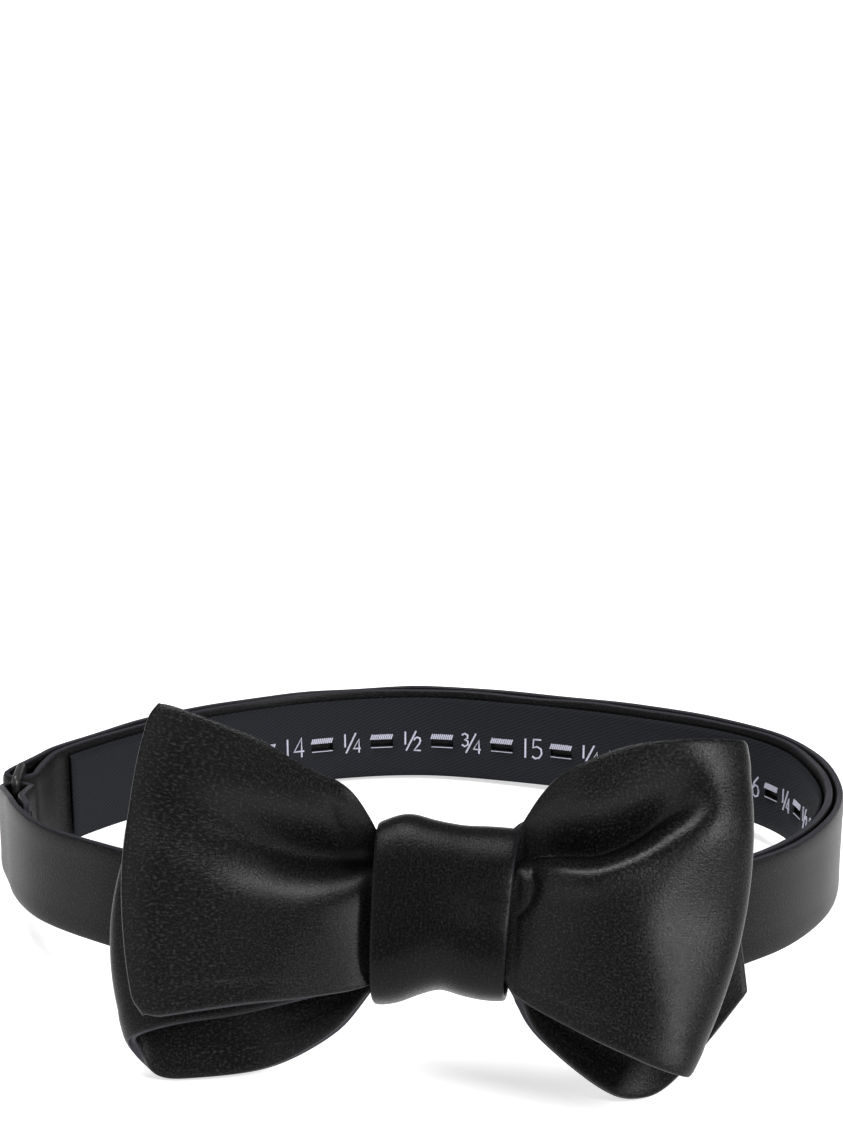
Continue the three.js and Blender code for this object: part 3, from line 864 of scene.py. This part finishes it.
class BOWTIE_OT_loops(bpy.types.Operator):
    """Build the two folded loops: front right and back left"""

    bl_idname = "bowtie.loops"
    bl_label = "Folded loops"

    def execute(self, context):
        base = sizes().wing_thickness * 500
        surface = loop_surface(1, front_right_middle, front_right_half, FRONT_RIGHT_EDGES, 0.13, 0.5)
        place = padded_cloth(surface, seam_half(84, 50, base))
        front = subdivide(pillow("front_right_wing", 88, 48, place, (84, 50)))
        finish_piece(front, satin_material(), "front_right_wing", (
            "front_right_loop_face", "front_right_loop_interlining", "front_right_loop_lining"), 1)
        surface = loop_surface(-1, back_left_middle, back_left_half, BACK_LEFT_EDGES, 0.12, 0.0)
        place = padded_cloth(surface, seam_half(92, 38, base))
        back = subdivide(pillow("back_left_wing", 92, 36, place, (92, 38)))
        finish_piece(back, satin_material(), "back_left_wing", (
            "back_left_loop_face", "back_left_loop_interlining", "back_left_loop_lining"), -1)
        return {"FINISHED"}


# The knot: how square its section is, its depth, and its edges from the right to the left.
KNOT_SQUARENESS = 2.7
KNOT_HALF_DEPTH = 9.2
KNOT_TOP = [(11.4,), (12.9,), (11.9,), (11.2,), (11.2,), (11.0,)]
KNOT_BOTTOM = [(-17.4,), (-16.9,), (-15.4,), (-14.4,), (-15.3,), (-15.9,), (-16.0,)]


def knot_surface(u, v):
    """The wrap, once round the gathered cloth for u and along the knot for v."""
    angle = 2 * math.pi * u
    c, s = math.cos(angle), math.sin(angle)
    left = mix(-11.6, -11.9, 0.5 + 0.5 * s)
    right = mix(9.8, 11.5, 0.5 + 0.5 * s)
    a = mix(right, left, v)
    top = through(KNOT_TOP, 1 - v)[0]
    bottom = through(KNOT_BOTTOM, 1 - v)[0]
    reach = (abs(c) ** KNOT_SQUARENESS + abs(s) ** KNOT_SQUARENESS) ** (-1 / KNOT_SQUARENESS)
    out = -1.5 + KNOT_HALF_DEPTH * c * reach
    up = (top + bottom) / 2 + (top - bottom) / 2 * s * reach
    out += 0.5 * hump(v, 0.5, 0.35) * max(0, c) + 0.35 * ripples(a, up, 2.2, 9) * max(0, c)
    return in_bow(a, up, out)


class BOWTIE_OT_knot(bpy.types.Operator):
    """Build the wrapped knot and the gathered cloth inside it"""

    bl_idname = "bowtie.knot"
    bl_label = "Knot"

    def execute(self, context):
        place = padded_cloth(knot_surface, lambda u, v: 0.62, HEMMED_RIM)
        wrap = subdivide(pillow("knot_wrap", 72, 16, place, (84, 23), closed=True))
        finish_piece(wrap, crosswise_satin_painted_shade(), "neckband", ("knot_wrap_face", "knot_wrap_lining"))
        for name, back, front, node in (
            ("knot_gathers_front", 0.6, 6.3, "knot_waist_front"),
            ("knot_gathers_back", -6.2, -0.2, "knot_waist_back"),
        ):
            finish_piece(gathers(name, back, front), satin_material(), "neckband", (node,))
        return {"FINISHED"}


def gathers(name, back, front):
    """A bundle of gathered cloth: a rounded bar with pleats running along it."""
    bm = bmesh.new()
    bmesh.ops.create_cone(bm, cap_ends=True, segments=48, radius1=1, radius2=1, depth=2)
    sides = [e for e in bm.edges if abs(e.verts[0].co.z - e.verts[1].co.z) > 1]
    bmesh.ops.subdivide_edges(bm, edges=sides, cuts=6)
    where = bm.verts.layers.float_vector.new("where")
    for vert in bm.verts:
        angle = math.atan2(vert.co.y, vert.co.x)
        pleat = 1 + 0.05 * math.sin(angle * 12 + 0.6 * vert.co.z)
        c, s = math.cos(angle), math.sin(angle)
        square = (abs(c) ** 3 + abs(s) ** 3) ** (-1 / 3)
        out = (front + back) / 2 + (front - back) / 2 * c * square * pleat
        up = -2.0 + 10.2 * s * square * pleat
        vert[where] = Vector((angle / (2 * math.pi) + 0.5, vert.co.z / 2 + 0.5, 0))
        vert.co = in_bow(-9.0 * vert.co.z, up, out) * MM
    lay_uv(bm, where, (50, 18), closed=True)
    bmesh.ops.recalc_face_normals(bm, faces=bm.faces)
    return new_object(name, bm)


class BOWTIE_OT_bands(bpy.types.Operator):
    """Build the long band with its folded strap and the short band"""

    bl_idname = "bowtie.bands"
    bl_label = "Neckband"

    def execute(self, context):
        for name, columns, nodes in (
            ("long_band", LONG_BAND, ("long_band_face", "long_band_interlining", "long_band_lining")),
            ("short_band", SHORT_BAND, ("short_band_face", "short_band_interlining", "short_band_lining")),
        ):
            length = sum((b.middle - a.middle).length for a, b in zip(columns, columns[1:]))
            middle = column_surface(columns)

            def soft(u, v, middle=middle, length=length):
                point = middle(u, v)
                run = u * length
                sway = 0.3 * noise.noise(Vector((run / 17, 0.6 * v, 4.0)))
                return point + Vector((0.8 * sway, sway, 1.1 * sway))

            def half(u, v):
                near = min(v, 1 - v) * BAND_HEIGHT
                return 0.8 + 0.08 * (1 - smooth((near - 3.2) / 0.8)) - 0.1 * (1 - smooth(near / 1.0))

            place = padded_cloth(soft, half, FOLDED_RIM)
            band = subdivide(pillow(name, len(columns) - 1, 14, place, (length, BAND_HEIGHT)))
            finish_piece(band, band_satin(), "neckband", nodes)
        return {"FINISHED"}


class BOWTIE_OT_tape(bpy.types.Operator):
    """Build the woven size tape with its open slots"""

    bl_idname = "bowtie.tape"
    bl_label = "Size tape"

    def execute(self, context):
        material = woven_tape("Woven tape", tuple(cloth().tape_colour))
        end = STRAP_LENGTH - 4
        plain = FIRST_SLOT - SLOT_LENGTH / 2 - TAPE_START
        stops = [TAPE_START + 2 * i for i in range(int(plain / 2))]
        for i in range(SLOT_COUNT):
            middle = FIRST_SLOT + i * SLOT_PITCH
            low, high = middle - SLOT_LENGTH / 2, middle + SLOT_LENGTH / 2
            stops += [low, mix(low, high, 0.33), mix(low, high, 0.67), high]
            stops += [high + (SLOT_PITCH - SLOT_LENGTH) * k / 4 for k in (1, 2, 3)]
        stops = [s for s in stops if s < end] + [end]
        level = SLOT_LEVEL * BAND_HEIGHT
        slot_low, slot_high = level - SLOT_HEIGHT / 2, level + SLOT_HEIGHT / 2
        rises = [0.6, 2.4, 4.4, slot_low, slot_high, 9.6, 12.0, 14.4, 16.6, 18.2]
        bm = bmesh.new()
        where = bm.verts.layers.float_vector.new("where")
        bmesh.ops.create_grid(bm, x_segments=len(stops) - 1, y_segments=len(rises) - 1, size=1.0)
        cut = []
        for face in bm.faces:
            centre = face.calc_center_median()
            i = int((centre.x + 1) / 2 * (len(stops) - 1))
            j = int((centre.y + 1) / 2 * (len(rises) - 1))
            count = ((stops[i] + stops[i + 1]) / 2 - FIRST_SLOT) / SLOT_PITCH
            inside = abs(count - round(count)) * SLOT_PITCH < SLOT_LENGTH / 2
            if rises[j] == slot_low and inside and 0 <= round(count) < SLOT_COUNT:
                cut.append(face)
        for vert in bm.verts:
            i = round((vert.co.x + 1) / 2 * (len(stops) - 1))
            j = round((vert.co.y + 1) / 2 * (len(rises) - 1))
            vert[where] = Vector((stops[i], rises[j], 0))
            vert.co = strap_point(stops[i], rises[j] - level, TAPE_HIGH) * MM
        bmesh.ops.delete(bm, geom=cut, context="FACES")
        lay_uv(bm, where, (1, 1))
        tape = new_object("size_tape_cloth", bm)
        solid = tape.modifiers.new("Thickness", "SOLIDIFY")
        solid.thickness = TAPE_THICKNESS
        solid.offset = -1
        finish_piece(tape, material, "neckband", ("size_tape",))
        return {"FINISHED"}


# Strokes of the numerals, in shares of the numeral height: width 0.55, height 1.
STROKES = {
    "1": [[(0.27, 0), (0.27, 1)]],
    "2": [[(0.02, 0.78), (0.1, 0.94), (0.27, 1), (0.45, 0.93), (0.5, 0.75), (0.42, 0.52), (0.02, 0),
           (0.53, 0)]],
    "3": [[(0.03, 0.88), (0.24, 1), (0.46, 0.88), (0.46, 0.66), (0.22, 0.53), (0.48, 0.42), (0.5, 0.16),
           (0.26, 0), (0.02, 0.12)]],
    "4": [[(0.42, 0), (0.42, 1), (0.0, 0.3), (0.55, 0.3)]],
    "5": [[(0.48, 1), (0.08, 1), (0.05, 0.56), (0.27, 0.63), (0.48, 0.52), (0.52, 0.27), (0.38, 0.05),
           (0.18, 0), (0.02, 0.1)]],
    "6": [[(0.44, 1), (0.16, 0.7), (0.03, 0.35), (0.1, 0.07), (0.28, 0), (0.46, 0.08), (0.52, 0.3),
           (0.42, 0.52), (0.24, 0.57), (0.06, 0.42)]],
    "7": [[(0.02, 1), (0.53, 1), (0.2, 0)]],
    "8": [[(0.27, 0.54), (0.07, 0.66), (0.09, 0.9), (0.27, 1), (0.45, 0.9), (0.47, 0.66), (0.27, 0.54),
           (0.04, 0.38), (0.05, 0.12), (0.27, 0), (0.49, 0.12), (0.5, 0.38), (0.27, 0.54)]],
    "/": [[(0, 0), (0.5, 1)]],
}


# Slanting stitches in the mark above each slot.
HATCHES = 11


class BOWTIE_OT_marks(bpy.types.Operator):
    """Weave the size numerals and the slot marks on the tape"""

    bl_idname = "bowtie.marks"
    bl_label = "Size marks"

    def execute(self, context):
        height = sizes().mark_height * 1000
        width = sizes().thread_width * 1000
        data = bpy.data.curves.new("size_marks", "CURVE")
        data.dimensions = "3D"
        data.bevel_depth = width / 2 * MM
        data.bevel_resolution = 1
        data.use_fill_caps = True

        def stroke(points, distance, lift=0.05, thin=1.0):
            spline = data.splines.new("POLY")
            spline.points.add(len(points) - 1)
            for point, (x, y) in zip(spline.points, points):
                point.co = (*(strap_point(distance + x, y, TAPE_HIGH + lift) * MM), 1)
                point.radius = thin

        def glyph(character, distance, left, low, size):
            for line in STROKES[character]:
                stroke([(left + x * size, low + y * size) for x, y in line], distance)

        for i in range(SLOT_COUNT):
            slot = FIRST_SLOT + i * SLOT_PITCH
            text = (str(14 + i // 4), "1/4", "1/2", "3/4")[i % 4]
            middle = slot + SLOT_PITCH / 2
            if middle < STRAP_LENGTH - 8:
                low = -height / 2 + 0.4
                if "/" in text:
                    glyph(text[0], middle, -2.35, low + height * 0.3, height * 0.68)
                    glyph("/", middle, -1.35, low - 0.1, height * 1.04)
                    glyph(text[2], middle, 0.35, low - 0.1, height * 0.7)
                else:
                    glyph(text[0], middle, -2.6, low, height)
                    glyph(text[1], middle, 0.1, low, height)
            for k in range(HATCHES):
                x = -2.35 + 4.5 * k / (HATCHES - 1)
                stroke([(x - 0.18, 0.85), (x + 0.22, 1.95)], slot, 0.03, 0.85)
            stroke([(-2.4, -1.0), (2.4, -1.0)], slot, 0.0, 0.45)
        material = thread("Mark thread", tuple(cloth().mark_colour))
        finish_piece(swept("size_marks", data), material, "neckband")
        return {"FINISHED"}


def placed_block(bm, size, centre, axes):
    """Adds a box of the given size to bm, along the three axes."""
    basis = Matrix(axes).transposed()
    for vert in bmesh.ops.create_cube(bm, size=1.0)["verts"]:
        local = Vector(vert.co[i] * size[i] for i in range(3))
        vert.co = (centre + basis @ local) * MM


class BOWTIE_OT_adjuster(bpy.types.Operator):
    """Build the adjuster ring, the T-hook and the bar tack"""

    bl_idname = "bowtie.adjuster"
    bl_label = "Adjuster"

    def execute(self, context):
        self.ring()
        self.hook()
        self.tack()
        return {"FINISHED"}

    def ring(self):
        data = bpy.data.curves.new("ring_path", "CURVE")
        data.dimensions = "3D"
        data.bevel_depth = RING_WIRE / 2 * MM
        data.bevel_resolution = 4
        half_y, half_z = RING_PITCH / 2, (RING_INNER_HEIGHT + RING_WIRE) / 2
        corner = 1.1
        spline = data.splines.new("POLY")
        points = []
        for turn, (sy, sz) in enumerate(((1, 1), (-1, 1), (-1, -1), (1, -1))):
            for k in range(5):
                angle = math.pi / 2 * (turn + k / 4)
                y = sy * (half_y - corner) + corner * math.cos(angle)
                z = sz * (half_z - corner) + corner * math.sin(angle)
                points.append(RING_MIDDLE + Vector((0, y, z)))
        spline.points.add(len(points) - 1)
        for point, co in zip(spline.points, points):
            point.co = (*(co * MM), 1)
        spline.use_cyclic_u = True
        ring = swept("ring_wire", data)
        for polygon in ring.data.polygons:
            polygon.use_smooth = True
        material = metal("Black enamel", (0.01, 0.01, 0.01), 0.45, 0.0)
        finish_piece(ring, material, "ring", ("adjuster_ring",))

    def hook(self):
        centre, tangent, up, normal = strap_frame(FIRST_SLOT + HOOKED_SLOT * SLOT_PITCH)
        bm = bmesh.new()
        for size, out in (((7.5, 8.0, 0.3), -1.05), ((8.0, 2.6, 0.4), TAPE_HIGH + 0.55)):
            placed_block(bm, size, centre + normal * out, (tangent, up, normal))
        stem = centre + normal * (TAPE_HIGH - 0.5) / 2
        placed_block(bm, (3.4, 0.8, TAPE_HIGH + 1.65), stem, (tangent, up, normal))
        rounding = {"offset": 0.12 * MM, "segments": 2, "profile": 0.5, "material": -1}
        bmesh.ops.bevel(bm, geom=bm.edges[:], affect="EDGES", **rounding)
        steel = metal("Hook steel", (0.42, 0.41, 0.4), 0.3)
        finish_piece(new_object("t_hook_metal", bm), steel, "neckband", ("t_hook",))

    def tack(self):
        start, after = SHORT_BAND[:2]
        normal = start.normal
        tangent = (after.middle - start.middle).normalized()
        up = normal.cross(tangent)
        bm = bmesh.new()
        stitches = 19
        for i in range(stitches):
            rise = -7.0 + 14.0 * i / (stitches - 1)
            centre = start.middle + tangent * 1.6 + up * rise + normal * 1.3
            made = bmesh.ops.create_uvsphere(bm, u_segments=8, v_segments=6, radius=1.0)["verts"]
            for vert in made:
                local = tangent * vert.co.x * 0.75 + up * vert.co.y * 0.36 + normal * vert.co.z * 0.25
                vert.co = (centre + local) * MM
        material = thread("Tack thread", (0.02, 0.02, 0.021))
        finish_piece(new_object("bar_tack", bm), material, "neckband", ("short_band_tack",))


# Direction, spread in degrees and strength of the soft lights.
LIGHTS = {
    "Key": ((0.62, -0.59, 0.52), 14, 2.8),
    "Top": ((-0.2, 0.2, 0.95), 24, 2.4),
    "Fill": ((-0.75, -0.45, 0.5), 40, 0.45),
}
FLOOR_HALF = 6.0
FLOOR_DROP = 0.0002
FLOOR_GLOW = 0.62
CAMERA_PLACE = Vector((0.603, -471.25, 199.0))
CAMERA_TILT = 90 - 22.1


class BOWTIE_OT_stage(bpy.types.Operator):
    """Set the pale floor, the soft lights and the camera"""

    bl_idname = "bowtie.stage"
    bl_label = "Stage"

    def execute(self, context):
        scene = context.scene
        bm = bmesh.new()
        bmesh.ops.create_grid(bm, x_segments=1, y_segments=1, size=FLOOR_HALF)
        bmesh.ops.translate(bm, verts=bm.verts, vec=(0, 0, -FLOOR_DROP))
        floor = new_object("floor", bm)
        paper = Nodes("Paper floor")
        tone = paper.ranged(paper.noise(paper.place(), 40.0), 0.74, 0.77)
        base = paper.add("ShaderNodeCombineColor", {0: tone, 1: tone, 2: tone})
        paper.colour(base.outputs[0])
        paper.set(Roughness=1.0, Emission_Color=(1, 1, 1, 1), Emission_Strength=FLOOR_GLOW)
        floor.data.materials.append(paper.material)
        for name, settings in LIGHTS.items():
            self.light(name, *settings)
        world = bpy.data.worlds.new("Studio")
        scene.world = world
        world.use_nodes = True
        background = world.node_tree.nodes["Background"]
        background.inputs["Color"].default_value = (1, 1, 1, 1)
        background.inputs["Strength"].default_value = 0.2
        camera = bpy.data.cameras.new("Camera")
        camera.lens = 86.51
        camera.sensor_width = 36
        camera.shift_y = 0.2911
        camera.clip_start = 0.01
        eye = bpy.data.objects.new("Camera", camera)
        eye.location = CAMERA_PLACE * MM
        eye.rotation_euler = (math.radians(CAMERA_TILT), 0, 0)
        scene.collection.objects.link(eye)
        scene.camera = eye
        scene.view_settings.view_transform = "Standard"
        return {"FINISHED"}

    def light(self, name, towards, spread, strength):
        data = bpy.data.lights.new(name, "SUN")
        data.angle = math.radians(spread)
        data.energy = strength
        lamp = bpy.data.objects.new(name, data)
        lamp.location = towards
        lamp.rotation_euler = Vector(towards).to_track_quat("Z", "Y").to_euler()
        bpy.context.scene.collection.objects.link(lamp)


class BOWTIE_PT_panel(bpy.types.Panel):
    """Lists the pieces of the bow tie"""

    bl_idname = "BOWTIE_PT_panel"
    bl_label = "Bow Tie"
    bl_space_type = "VIEW_3D"
    bl_region_type = "UI"
    bl_category = "Bow Tie"

    def draw(self, context):
        layout = self.layout
        for group in (context.scene.bow_tie_cloth, context.scene.bow_tie_sizes):
            for name in group.bl_rna.properties.keys():
                if name not in ("rna_type", "name"):
                    layout.prop(group, name)
        for operator in OPERATORS:
            layout.operator(operator.bl_idname)


OPERATORS = (
    BOWTIE_OT_stage, BOWTIE_OT_blades, BOWTIE_OT_loops, BOWTIE_OT_knot, BOWTIE_OT_bands,
    BOWTIE_OT_tape, BOWTIE_OT_marks, BOWTIE_OT_adjuster,
)
CLASSES = (BowTieCloth, BowTieSizes, *OPERATORS, BOWTIE_PT_panel)


def register():
    for cls in CLASSES:
        bpy.utils.register_class(cls)
    bpy.types.Scene.bow_tie_cloth = bpy.props.PointerProperty(type=BowTieCloth)
    bpy.types.Scene.bow_tie_sizes = bpy.props.PointerProperty(type=BowTieSizes)


def unregister():
    del bpy.types.Scene.bow_tie_sizes
    del bpy.types.Scene.bow_tie_cloth
    for cls in reversed(CLASSES):
        bpy.utils.unregister_class(cls)


def main():
    register()
    bpy.ops.bowtie.stage()
    bpy.ops.bowtie.blades()
    bpy.ops.bowtie.loops()
    bpy.ops.bowtie.knot()
    bpy.ops.bowtie.bands()
    bpy.ops.bowtie.tape()
    bpy.ops.bowtie.marks()
    bpy.ops.bowtie.adjuster()


if __name__ == "__main__":
    main()
